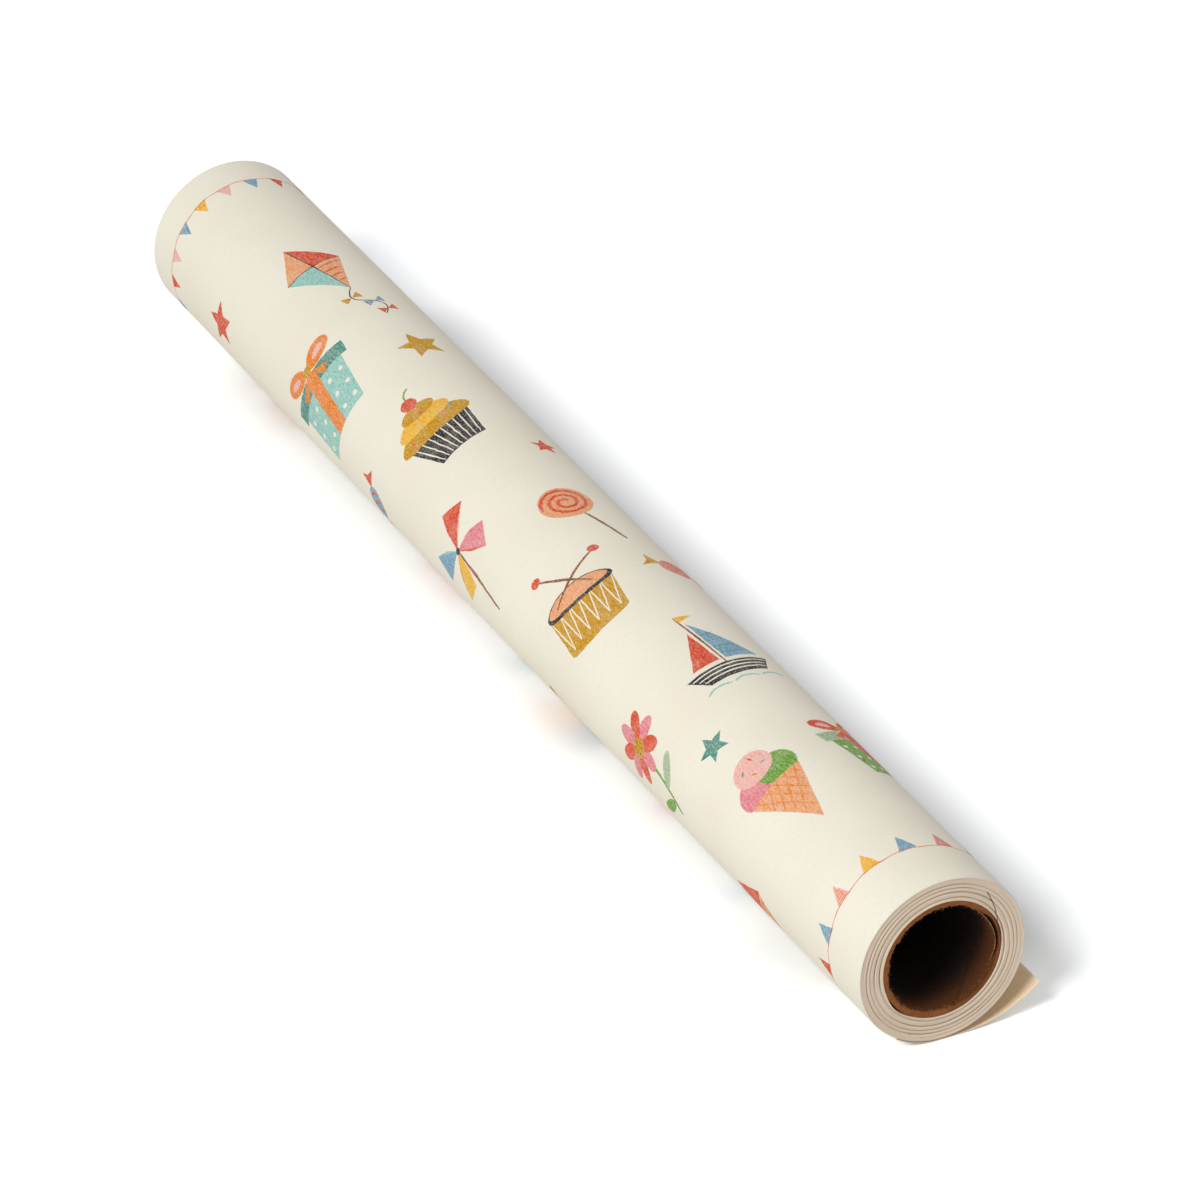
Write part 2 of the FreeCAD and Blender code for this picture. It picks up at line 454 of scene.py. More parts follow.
def flat_band(left, right, v_start, v_end, rows, drawn):
    """Points (u, v), triangles and the ink of each, of a band of the sheet along its length."""
    points = [Vector(p) for p in ((left, v_start), (right, v_start), (right, v_end), (left, v_end))]
    faces, inks, edges = [[0, 1, 2, 3]], [None], []
    lines = [v_start + (v_end - v_start) * i / rows for i in range(1, rows)]
    ends = [((left, v), (right, v)) for v in lines]
    ends += [((u, v_start), (u, v_end)) for u in COLUMNS if left < u < right]
    for a, b in ends:
        edges.append((len(points), len(points) + 1))
        points.extend((Vector(a), Vector(b)))
    for ink, outline in PRINT if drawn else ():
        if max(u for u, v in outline) < left or min(u for u, v in outline) > right:
            continue
        low, high = min(v for u, v in outline), max(v for u, v in outline)
        for turn in (-1, 0, 1, 2):
            if low + turn * REPEAT < v_end and high + turn * REPEAT > v_start:
                faces.append(list(range(len(points), len(points) + len(outline))))
                points.extend(Vector((u, v + turn * REPEAT)) for u, v in outline)
                inks.append(ink)
    found = delaunay_2d_cdt(points, edges, faces, 0, MERGED)
    kept = [(face, max(origin)) for face, origin in zip(found[2], found[5]) if 0 in origin]
    return found[0], [face for face, _ in kept], [inks[top] for _, top in kept]


def flat_sheet(v_start, v_end, rows, drawn=True):
    """Points (u, v), triangles and the ink of each, of the sheet between two places along it."""
    known, faces, inks = {}, [], []
    edges = [-HALF + 2 * HALF * i / BANDS for i in range(BANDS + 1)]
    for left, right in zip(edges, edges[1:]):
        places, triangles, colours = flat_band(left, right, v_start, v_end, rows, drawn)
        index = [known.setdefault((round(u, 3), round(v, 3)), len(known)) for u, v in places]
        for triangle, ink in zip(triangles, colours):
            corners = [index[i] for i in triangle]
            if len(set(corners)) == 3:
                faces.append(corners[::-1])
                inks.append(ink)
    return list(known), faces, inks


def mesh_object(name, vertices, faces, body, slot, materials, replaced=()):
    mesh = bpy.data.meshes.new(name)
    mesh.from_pydata([Vector(v) * MM for v in vertices], [], faces)
    mesh.shade_smooth()
    made = bpy.data.objects.new(name, mesh)
    bpy.context.scene.collection.objects.link(made)
    for material in materials:
        mesh.materials.append(material)
    if body:
        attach(made, body)
    if replaced:
        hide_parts(*replaced)
    return made


def set_corners(mesh, name, places):
    """A place on a flat map for every corner, given for every vertex."""
    values = [c for loop in mesh.loops for c in places[loop.vertex_index]]
    mesh.uv_layers.new(name=name).data.foreach_set("uv", values)


def set_flat(mesh, places, inks):
    """The place of every corner on the flat sheet, and the ink there."""
    set_corners(mesh, "flat", places)
    values = []
    for polygon in mesh.polygons:
        ink = inks[polygon.index] if polygon.index < len(inks) else None
        colour = INKS[ink] if ink else (1.0, 1.0, 1.0, 0.0)  # alpha says how much ink there is
        values += list(colour) * polygon.loop_total
    mesh.color_attributes.new("ink", "FLOAT_COLOR", "CORNER").data.foreach_set("color", values)


# The printed turn


def roll_radius(u, v):
    """The roll isn't quite even, and its rim is soft."""
    rim = max(0.0, 1 - (HALF - abs(u)) / RIM)
    a = 2 * math.pi * v / REPEAT
    uneven = noise.noise(Vector((u / 60, math.cos(a), math.sin(a))))
    return ROLL_R - 0.07 + 0.05 * uneven - 0.24 * rim * rim


def printed_turn():
    """The last full turn: its printed face, its cut rims, and the bare side below."""
    rows = 120
    places, faces, inks = flat_sheet(0, REPEAT, rows)
    first_rim, below = len(faces), len(places)
    columns = (-HALF, -HALF + RIM, HALF - RIM, HALF)
    bare = [(u, REPEAT * i / rows) for u in columns for i in range(rows + 1)]
    vertices = []
    for inset, side in ((0.0, places), (PAPER, bare)):
        for u, v in side:
            v = 0.0 if v > REPEAT - 0.0006 else v  # closes the turn
            vertices.append(spun(u, roll_radius(u, v) - inset, math.radians(-90) + v / ROLL_R))
    rims = []
    for end in (-HALF, HALF):
        found = sorted((v, i) for i, (u, v) in enumerate(places) if abs(u - end) < 0.001)
        rims.append([i for _, i in found])
    for i in range(rows):
        for rim, column, way in zip(rims, (0, 3), (-1, 1)):
            low = below + column * (rows + 1) + i
            faces.append((rim[i], rim[i + 1], low + 1, low)[::way])
    first_bare = len(faces)
    for column in range(3):
        for i in range(rows):
            low = below + column * (rows + 1) + i
            faces.append((low, low + rows + 1, low + rows + 2, low + 1))
    looks = ("wound_roll", "printed_paper", [printed_paper], ["printed_turn"])
    made = mesh_object("printed_outer_turn", vertices, faces, *looks)
    set_flat(made.data, [*places, *bare], inks)
    normals = []
    for polygon in made.data.polygons:
        for vertex in polygon.vertices:
            x, y, z = vertices[vertex]
            normal = Vector((0, y, z)).normalized()
            if first_rim <= polygon.index < first_bare:
                normal = Vector((math.copysign(1, x), 0, 0))
            normals.append(-normal if polygon.index >= first_bare else normal)
    made.data.normals_split_custom_set(normals)


# Laid and loose stretches of the sheet


def sheet_section(s):
    """Y, Z and slope in radians of the sheet's middle surface, s along it from under the axis."""
    if s < -2.0:
        a = -math.pi / 2 + s / LAID_R
        start = math.radians(LAY_ANGLE - 360)
        lift = min(1.0, max(0.0, (a - start) / math.radians(26)))
        radius = ROLL_R + 0.02 + 0.23 * lift * lift * (3 - 2 * lift)
        return radius * math.cos(a), radius * math.sin(a), a + math.pi / 2
    y, z, slope = 0.0, FLOOR + PAPER / 2, 0.0
    if s < 0:
        bend = -s / LAID_R
        return s, z + 0.5 * max(0.0, -s - 1.2) * bend * 0.6, -bend * 0.6
    stretches = [(None, LEAD)]
    for radius, length in CURLS:
        stretches += [(radius - PAPER / 2, length), (None, FLEX)]
    for radius, length in stretches[:-1]:
        part = min(s, length)
        if radius is None:
            y, z = y + part * math.cos(slope), z + part * math.sin(slope)
        else:
            end = slope + part / radius
            y += radius * (math.sin(end) - math.sin(slope))
            z += radius * (math.cos(slope) - math.cos(end))
            slope = end
        s -= part
    return y, z, slope


def sheet_stretch(name, s_start, s_end, rows, replaced, drawn=True):
    """A stretch of the sheet between two places along it, printed underneath."""
    places, faces, inks = flat_sheet(REPEAT + s_start, REPEAT + s_end, rows, drawn)
    vertices, normals = [], []
    for side in (-1, 1):
        for u, v in places:
            y, z, slope = sheet_section(v - REPEAT)
            normal = Vector((0, -math.sin(slope), math.cos(slope)))
            vertices.append(Vector((u, y, z)) + normal * side * PAPER / 2)
            normals.append(normal * side)
    count = len(places)
    doubled = [list(face) for face in faces]
    doubled += [[i + count for i in reversed(face)] for face in faces]
    uses = {}
    for face in faces:
        for a, b in zip(face, face[1:] + face[:1]):
            uses[(a, b)] = uses.get((b, a)) is None
            if (b, a) in uses:
                uses[(a, b)] = uses[(b, a)] = False
    rims = [[b, a, a + count, b + count] for (a, b), open_ in uses.items() if open_]
    looks = (None, "printed_paper", (printed_paper, kraft_paper), replaced)
    made = mesh_object(name, vertices, doubled + rims, *looks)
    set_flat(made.data, list(places) * 2, inks)
    for polygon in made.data.polygons:
        polygon.material_index = int(polygon.index >= len(faces))
    made.data.normals_split_custom_set_from_vertices(normals)
    return made


def laid_and_loose_sheet():
    """The stretches outside the roll. The paid-out one has the flat places of its pulled length."""
    bend_places = [LEAD + CURLS[0][1] + FLEX / 2, LEAD + CURLS[0][1] + CURLS[1][1] + 1.5 * FLEX]
    middle = sum(bend_places) / 2
    lay_start = math.radians(LAY_ANGLE - 270) * LAID_R
    laid = sheet_stretch("sheet_laid_under_roll", lay_start, RUN[0], 14, ["sheet_under_roll"])
    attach(laid, "laid_sheet")
    run = sheet_stretch("sheet_paid_out", RUN[0], RUN[1], 24, ["paid_out_run"], False)
    for corner in run.data.uv_layers["flat"].data:
        t = (corner.uv.y - REPEAT - RUN[0]) / (RUN[1] - RUN[0])
        corner.uv.y -= (1 - smooth(t)) * PULL
    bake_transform(run)
    replaced = ["loose_end_root", "loose_end_middle"]
    root = sheet_stretch("sheet_end_root", RUN[1], middle, 14, replaced)
    edge = sheet_stretch("sheet_end_edge", middle, TIP, 12, ["loose_end_edge"])
    chain = ("pulled_end", "bent_end", "free_edge")
    for piece, place, a, b in zip((root, edge), bend_places, chain, chain[1:]):
        sections = [sheet_section(place + reach) for reach in (-BEND_REACH, BEND_REACH)]
        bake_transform(piece)


# The wound turns, with their cut ends


def bump(value, centre, reach):
    """1 at the centre, falling smoothly to 0 at this reach on both sides."""
    return smooth(max(0.0, 1 - abs((value - centre + 180) % 360 - 180) / reach))


def turns_inner_radius(angle, depth):
    """The first turn hugs the core, but for two gaps near the end that shows."""
    near = max(0.0, 1 - depth / 30)
    return CORE_R + 0.12 + near * (0.5 * bump(angle, 222, 24) + 0.35 * bump(angle, 14, 26))


def slit_depth(radius, angle):
    """1 along the line where the sheet's inner end lies between the turns."""
    (r0, a0), (r1, a1) = SLIT
    share = (r0 - radius) / (r0 - r1)
    if not 0 < share < 1.1:
        return 0.0
    off = math.radians(angle - a0 - (a1 - a0) * share ** 1.25) * radius
    return min(1.0, share * 8) * math.exp(-((off / (0.2 + 0.16 * share)) ** 2))


def cut_end(radius, angle, side):
    """How far the cut end lies back there, and how dark or light (-1 to 1) its edge is painted:
    random tone, painted shade in the grooves and the slit, painted highlight on the grooves' lips
    and the inner turn.
    """
    a = math.radians(angle)
    ring = Vector((math.cos(a) * 1.3, math.sin(a) * 1.3, radius * 1.9 + 40 * side))
    back = 0.16 + 0.13 * noise.noise(ring) + 0.07 * noise.noise(Vector((radius * 6.0, a, 3 + side)))
    shade = 0.25 * noise.noise(Vector((radius * 4.3, math.cos(a), math.sin(a))))
    for index, (place, depth, width) in enumerate(GROOVES):
        wander = 0.16 * noise.noise(Vector((math.cos(a), math.sin(a), 7.0 * index + side)))
        spot = Vector((1.7 * math.cos(a), 1.7 * math.sin(a), 3.1 * index))
        strength = 0.72 + 0.5 * noise.noise(spot)
        off = radius - place - wander - GROOVE_DRIFT * angle / 360
        near = math.exp(-((off / width) ** 2))
        light = math.exp(-(((off - 2.1 * width) / width) ** 2))  # painted highlight on the raised lip outside it
        back += depth * near * strength
        # painted shade in the groove, painted highlight on its lip
        shade += strength * (0.9 * near - 0.5 * light)
    # The innermost turn stands a little proud and gets a painted highlight.
    inner = math.exp(-(((radius - CORE_R - 0.26) / 0.14) ** 2))
    back -= 0.12 * inner
    shade -= 0.75 * inner
    if side > 0:
        slit = slit_depth(radius, angle)
        back += 1.4 * slit
        # painted shadow along the slit, which also lies back
        shade += 2.4 * slit
    return max(0.0, back), max(-1.0, min(1.0, shade))


def wound_turns():
    """One closed skin: the end that shows, the wall round the core, the other end, the outside."""
    angles = [2.25 * i for i in range(160)]
    angles = sorted(set(angles + [22 + 0.5 * i for i in range(68)]))
    rings, walls = 44, (0.6, 2, 6, 14, 30, 80, 180)
    vertices, wind, shades = [], [], []
    for angle in angles:
        a = math.radians(angle)
        v = (a + math.pi / 2) * ROLL_R % REPEAT
        for side in (1, -1):
            edge = roll_radius(HALF * side, v) - PAPER - 0.02
            inner = turns_inner_radius(angle, 0 if side > 0 else 30)
            line = []
            for i in range(rings + 1):
                radius = edge + (inner - edge) * i / rings
                back, shade = cut_end(radius, angle, side)
                back *= min(1.0, i / 3)
                line.append((side * (HALF - back), radius, shade))
            if side > 0:
                line += [(HALF - d, turns_inner_radius(angle, d), 0.4) for d in walls]
            else:
                line += [(-HALF + d, turns_inner_radius(angle, 30), 0.4) for d in walls]
                line.reverse()
            for x, radius, shade in line:
                vertices.append(spun(x, radius, a))
                wind.append((radius, angle))
                shades.append(shade)
    faces = closed_rings(len(angles), len(vertices) // len(angles))
    nodes = [n for n in bodies["wound_roll"] if n != "printed_turn"]
    looks = ("wound_roll", "wound_paper", [cut_paper], nodes)
    made = mesh_object("wound_turns", vertices, faces, *looks)
    set_corners(made.data, "wind", wind)
    # The cut ends' tone, with its painted shade and painted highlight, for their material; the wall
    # round the core gets a fixed darker value.
    shade_layer = made.data.attributes.new("shade", "FLOAT", "POINT")
    shade_layer.data.foreach_set("value", shades)


# Core


def wear_and_painted_shade_at(angle, side):
    """How far the core's inner edge is broken down there, from 0 to 1. The same share also paints
    the ring's face darker, a painted shade strongest round -22 degrees at the end that shows.
    """
    if side < 0:
        return 0.2
    return min(1.0, 0.08 + 1.3 * bump(angle, -22, 105))


def core_tube():
    """The board tube, closed, with ragged inner edges. Part of its outer plies is gone."""
    angles = [1.5 * i for i in range(240)]
    steps = 14
    walls = (0.5, 1.2, 2.4, 4, 6, 10, 20, 45, 100, 180)
    vertices, place, inside = [], [], []
    for angle in angles:
        a = math.radians(angle)
        lines = []
        for side in (1, -1):
            rough = noise.fractal(Vector((9 * math.cos(a), 9 * math.sin(a), 5 * side)), 0.8, 2.2, 4)
            fine = noise.noise(Vector((31 * math.cos(a), 31 * math.sin(a), 9 * side)))
            wear_and_painted_shade = wear_and_painted_shade_at(angle, side)
            fray = 0.22 + 0.3 * rough + 0.16 * fine
            gap = bump(angle, TORN_AT, TORN_REACH) if side > 0 else 0.0
            line = [(side * (HALF - d), CORE_R - 0.02, 0.0) for d in (100, 20, 0.4)]
            for i in range(steps + 1):
                share = i / steps
                step = 0.10 if i % 4 == 0 and 0 < share < 1 else 0.0
                torn = max(0.0, share - 0.62 + 0.3 * wear_and_painted_shade) / (0.38 + 0.3 * wear_and_painted_shade)
                frayed = torn * (0.5 + 0.9 * wear_and_painted_shade + 0.8 * rough + 0.35 * fine)
                back = 0.25 + step + frayed + 0.06 * fine
                radius = CORE_R - 0.02 - (CORE_R - BORE_R - 0.02) * share
                radius = min(radius + torn * fray, CORE_R - 0.05 - 0.1 * share)
                broken = min(1.0, max(0.0, share - 0.18) / 0.4)
                back += gap * 2.4 * broken * broken * (3 - 2 * broken)
                radius += gap * (CORE_R - 0.35 - 0.3 * share - radius) * broken
                # Share of the liner's colour: the liner's own board towards the bore and in the
                # torn gap, and painted shade over the broken-down side of the ring.
                dark = max(wear_and_painted_shade * (0.5 + 0.8 * torn), 2 * gap * broken, (share - 0.86) / 0.14)
                line.append((side * (HALF - max(0.05, back)), radius, min(1.0, dark)))
            for d in walls:
                ragged = max(0.0, 1 - d / 2.4)
                radius = BORE_R + ragged * max(0.0, fray)
                radius += gap * max(0.0, CORE_R - 0.65 - radius) * max(0.0, 1 - d / 6)
                line.append((side * (HALF - 1.2 - 0.9 * wear_and_painted_shade - 2.0 * gap - d), radius, 1.0))
            lines.append(line)
        for x, radius, dark in lines[0] + lines[1][::-1]:
            vertices.append(spun(x, radius, a))
            place.append((x, angle))
            inside.append(dark)
    length = len(vertices) // len(angles)
    faces = closed_rings(len(angles), length)
    looks = ("core", "core_board", [core_board], bodies["core"])
    made = mesh_object("core_tube", vertices, faces, *looks)
    layer = made.data.uv_layers.new(name="wall")
    for polygon in made.data.polygons:
        last = polygon.index // length == len(angles) - 1
        for corner in polygon.loop_indices:
            x, angle = place[made.data.loops[corner].vertex_index]
            layer.data[corner].uv = (x, 360.0 if last and angle == 0 else angle)
    dark_layer = made.data.attributes.new("dark", "FLOAT", "POINT")
    dark_layer.data.foreach_set("value", inside)


def strip_solid(name, grid, thick, body, slot, materials):
    """A thin closed sheet over a grid of points, thickened away from the axis. The last of its
    materials is the rim's."""
    rows, columns = len(grid), len(grid[0])
    vertices = []
    for lift in (0.0, thick):
        for row in grid:
            for x, radius, angle in row:
                vertices.append(spun(x, radius + lift, math.radians(angle)))
    count = rows * columns
    faces = []
    for i in range(rows - 1):
        for k in range(columns - 1):
            a = i * columns + k
            below = (a, a + columns, a + columns + 1, a + 1)
            faces.append(below)
            faces.append(tuple(count + below[corner] for corner in (0, 3, 2, 1)))
    ring = list(range(columns)) + [i * columns + columns - 1 for i in range(1, rows)]
    ring += [(rows - 1) * columns + k for k in range(columns - 2, -1, -1)]
    ring += [i * columns for i in range(rows - 2, 0, -1)]
    for a, b in zip(ring, ring[1:] + ring[:1]):
        faces.append((a, b, count + b, count + a))
    made = mesh_object(name, vertices, faces, body, slot, materials)
    for polygon in made.data.polygons[-len(ring):]:
        polygon.material_index = len(materials) - 1


def lifted_liner():
    """Where the plies outside it are gone, the liner stands alone at the end that shows."""
    grid = []
    for i in range(46):
        angle = -23 + 1.6 * i
        away = bump(angle, TORN_AT, TORN_REACH)
        ragged = 0.25 * noise.noise(Vector((i * 0.9, 0, 2)))
        row = []
        for share in (0.0, 0.06, 0.14, 0.28, 0.5, 0.75, 1.0):
            depth = 0.3 + max(0.0, ragged) + 1.3 * (1 - away) ** 2 + 8.6 * share
            row.append((HALF - depth, BORE_R + 0.08 + 0.16 * away * (1 - share) ** 1.3, angle))
        grid.append(row)
    strip_solid("lifted_liner_edge", grid, 0.24, "core", "core_board", (dark_liner, torn_fibre))


def fibre(vertices, faces, start, way, length, width):
    """A thin tapering fibre that curls as it goes."""
    side = way.orthogonal().normalized()
    first = len(vertices)
    place, rings = start.copy(), 4
    for ring in range(rings):
        half = width / 2 * (1 - 0.22 * ring)
        for corner in range(3):
            a = 2 * math.pi * corner / 3
            vertices.append(place + half * (side * math.cos(a) + way.cross(side) * math.sin(a)))
        curl = Vector([random.uniform(-0.5, 0.5) for _ in range(3)])
        way = (way + curl).normalized()
        side = (side - way * side.dot(way)).normalized()
        place = place + way * length / rings
    vertices.append(place)
    faces.append((first + 2, first + 1, first))
    for ring in range(rings - 1):
        for corner in range(3):
            a, b = first + 3 * ring + corner, first + 3 * ring + (corner + 1) % 3
            faces.append((a, b, b + 3, a + 3))
    last = first + 3 * (rings - 1)
    for corner in range(3):
        faces.append((last + corner, last + (corner + 1) % 3, first + 3 * rings))


def torn_fibres():
    """Loose fibres round both mouths of the bore."""
    vertices, faces = [], []
    for end, count in ((1, 260), (-1, 120)):
        for _ in range(count):
            a = random.uniform(0, 2 * math.pi)
            patch = noise.noise(Vector((2.5 * math.cos(a), 2.5 * math.sin(a), end)))
            if patch < random.uniform(-0.5, 0.3):
                continue
            out = Vector((0, math.cos(a), math.sin(a)))
            round_ = Vector((0, -math.sin(a), math.cos(a)))
            start = out * (BORE_R + random.uniform(0.1, 0.7))
            start = start + Vector((end * (HALF - random.uniform(0.5, 1.2)), 0, 0))
            way = out * random.uniform(-1.0, -0.2) + round_ * random.uniform(-0.9, 0.9)
            way += Vector((end * random.uniform(-0.2, 0.5), 0, 0))
            length, width = random.uniform(0.5, 1.7), random.uniform(0.06, 0.15)
            fibre(vertices, faces, start, way.normalized(), length, width)
    vertices = [Vector((max(-HALF, min(HALF, v.x)), v.y, v.z)) for v in vertices]
    mesh_object("torn_core_fibres", vertices, faces, "core", "core_board", [torn_fibre])


def paper_specks():
    """Two specks of brown fibre in the cut edges."""
    vertices, faces = [], []
    for radius, angle, size in ((25.6, 246.0, 0.26), (26.2, 255.5, 0.42)):
        centre = Vector(spun(HALF - 0.12, radius, math.radians(angle)))
        first = len(vertices)
        for i in range(9):
            b = 2 * math.pi * i / 9
            reach = size * (0.8 + 0.3 * math.sin(3 * b + radius))
            vertices.append(centre + Vector((-0.1, reach * math.cos(b), 0.7 * reach * math.sin(b))))
        vertices.append(centre + Vector((0.1, 0, 0)))
        faces += [(first + i, first + (i + 1) % 9, first + 9) for i in range(9)]
        faces.append(tuple(first + i for i in range(8, -1, -1)))
    mesh_object("paper_specks", vertices, faces, "wound_roll", "wound_paper", [torn_fibre])


# Materials


class Surface:
    """A procedural material, built up from its shader."""

    def __init__(self, name, roughness):
        self.material = bpy.data.materials.new(name)
        self.material.use_nodes = True
        self.tree = self.material.node_tree
        self.shader = self.tree.nodes["Principled BSDF"]
        self.shader.inputs["Roughness"].default_value = roughness
        self.shader.inputs["Specular IOR Level"].default_value = 0.3

    def node(self, kind, inputs=(), output=0, **settings):
        made = self.tree.nodes.new("ShaderNode" + kind)
        for key, value in settings.items():
            setattr(made, key, value)
        for key, value in dict(inputs).items():
            if isinstance(value, bpy.types.NodeSocket):
                self.tree.links.new(value, made.inputs[key])
            else:
                made.inputs[key].default_value = value
        return made.outputs[output]

    def math(self, operation, a, b=0.0):
        return self.node("Math", {0: a, 1: b}, operation=operation)

    def spread(self, value, low, high, start=0.0, end=1.0):
        """The value from low to high, mapped smoothly to start to end."""
        inputs = {"Value": value, "From Min": low, "From Max": high, "To Min": start, "To Max": end}
        return self.node("MapRange", inputs, interpolation_type="SMOOTHSTEP")

    def mix(self, share, a, b, kind="MIX"):
        return self.node("Mix", {0: share, 6: a, 7: b}, 2, data_type="RGBA", blend_type=kind)

    def split(self, vector):
        x = self.node("SeparateXYZ", {"Vector": vector})
        return x, x.node.outputs[1]

    def space(self):
        return self.node("TexCoord", output=3)

    def place(self, layer):
        return self.node("UVMap", uv_map=layer)

    def scaled(self, vector, x, y, z=1.0, turn=0.0):
        inputs = {"Vector": vector, "Scale": (x, y, z), "Rotation": (0, 0, math.radians(turn))}
        return self.node("Mapping", inputs)

    def noise(self, vector, scale, detail=2.0, rough=0.5):
        inputs = {"Vector": vector, "Scale": scale, "Detail": detail, "Roughness": rough}
        return self.node("TexNoise", inputs)

    def finish(self, colour, height=None, strength=0.3, distance=0.05, roughness=None):
        self.tree.links.new(colour, self.shader.inputs["Base Color"])
        if height is not None:
            inputs = {"Height": height, "Strength": strength, "Distance": distance * MM}
            self.tree.links.new(self.node("Bump", inputs), self.shader.inputs["Normal"])
        if roughness is not None:
            self.tree.links.new(roughness, self.shader.inputs["Roughness"])
        return self.material


def printed_paper_material():
    """Uncoated cream paper with coloured pencil drawings."""
    s = Surface("printed_cream_paper", 0.72)
    flat = s.place("flat")
    fibres = s.noise(s.scaled(flat, 0.5, 1.6), 1.0, 4.0, 0.6)
    cloud = s.noise(flat, 0.03, 2.0)
    paper = s.mix(s.spread(cloud, 0.3, 0.7), srgb(247, 241, 224), srgb(244, 237, 218))
    paper = s.mix(s.spread(fibres, 0.45, 0.75, 0.0, 0.5), paper, srgb(236, 228, 210))
    ink = s.node("VertexColor", layer_name="ink")
    drawn = s.node("VertexColor", output=1, layer_name="ink")
    strokes = s.noise(s.scaled(flat, 0.3, 1.5, turn=38), 1.0, 3.0, 0.7)
    grain = s.noise(flat, 1.25, 3.0, 0.8)
    tooth = s.math("ADD", s.math("MULTIPLY", strokes, 0.35), s.math("MULTIPLY", grain, 0.65))
    cover = s.spread(tooth, 0.36, 0.5, 0.6, 1.0)
    patch = s.noise(flat, 0.16, 2.0)
    deep = s.mix(s.spread(tooth, 0.49, 0.62, 0.0, 0.75), ink, ink, "MULTIPLY")
    deep = s.mix(s.spread(patch, 0.4, 0.7, 0.0, 0.1), deep, paper)
    colour = s.mix(s.math("MULTIPLY", cover, drawn), paper, deep)
    return s.finish(colour, fibres, 0.12, 0.06, s.spread(grain, 0.3, 0.7, 0.64, 0.8))


def kraft_paper_material():
    """The sheet's bare reverse, with a painted highlight along its cut edges where light comes
    through and off them.
    """
    s = Surface("kraft_reverse", 0.8)
    flat = s.place("flat")
    across, along = s.split(flat)
    fibres = s.noise(s.scaled(flat, 0.35, 2.2), 1.0, 5.0, 0.65)
    flecks = s.noise(s.scaled(flat, 1.4, 4.0, turn=20), 1.0, 2.0)
    colour = s.mix(s.spread(fibres, 0.3, 0.7), srgb(236, 207, 172), srgb(244, 219, 186))
    colour = s.mix(s.spread(flecks, 0.62, 0.72, 0.0, 0.3), colour, srgb(198, 160, 124))
    # Painted highlight along the cut edges, in a ragged band about 1.5 mm wide.
    inset = s.math("SUBTRACT", HALF, s.math("ABSOLUTE", across))
    inset = s.math("MINIMUM", inset, s.math("SUBTRACT", REPEAT + TIP, along))
    uneven = s.math("SUBTRACT", s.noise(flat, 2.0), 0.5)
    ragged = s.math("ADD", inset, s.math("MULTIPLY", uneven, 0.5))
    colour = s.mix(s.spread(ragged, 0.2, 1.5, 0.6, 0.0), colour, srgb(246, 232, 206))
    return s.finish(colour, fibres, 0.2, 0.08)


def cut_paper_material():
    """The edges of some sixty turns, cut with the sheet, with the painted shade and painted
    highlight that the mesh's shade values carry.
    """
    s = Surface("cut_paper_edges", 0.8)
    radius, angle = s.split(s.place("wind"))
    turn = s.math("MULTIPLY", radius, 1 / TURN_PITCH)
    turn = s.math("ADD", turn, s.math("MULTIPLY", angle, 1 / 360))
    vector = s.node("CombineXYZ", {"X": turn, "Y": s.math("MULTIPLY", angle, 0.05)})
    lines = s.noise(vector, 0.9, 3.0, 0.7)
    broad = s.noise(s.scaled(vector, 0.16, 0.3), 1.0, 2.0)
    rough = s.noise(s.space(), 900.0, 3.0, 0.7)
    shade = s.node("Attribute", output=2, attribute_name="shade")
    colour = s.mix(s.spread(lines, 0.3, 0.7), srgb(226, 203, 178), srgb(246, 229, 206))
    colour = s.mix(s.spread(broad, 0.35, 0.7, 0.0, 0.5), colour, srgb(234, 212, 188))
    # painted shade in the grooves and the slit
    colour = s.mix(s.spread(shade, 0.1, 1.0, 0.0, 0.85), colour, srgb(134, 108, 82))
    # painted highlight on the grooves' lips and the inner turn
    colour = s.mix(s.spread(shade, -0.1, -0.9, 0.0, 0.8), colour, srgb(252, 242, 226))
    height = s.math("ADD", lines, s.math("MULTIPLY", rough, 0.4))
    return s.finish(colour, height, 0.35, 0.08)


def liner_with_painted_shade(s, depth, pulp):
    """The dark liner, with painted shade that takes it to near black 12 mm into the bore."""
    # painted shade, deeper into the bore
    colour = s.mix(s.spread(depth, 0.0, 12.0), srgb(88, 45, 11), srgb(20, 10, 5))
    return s.mix(s.spread(pulp, 0.45, 0.75, 0.0, 0.2), colour, srgb(106, 58, 20))


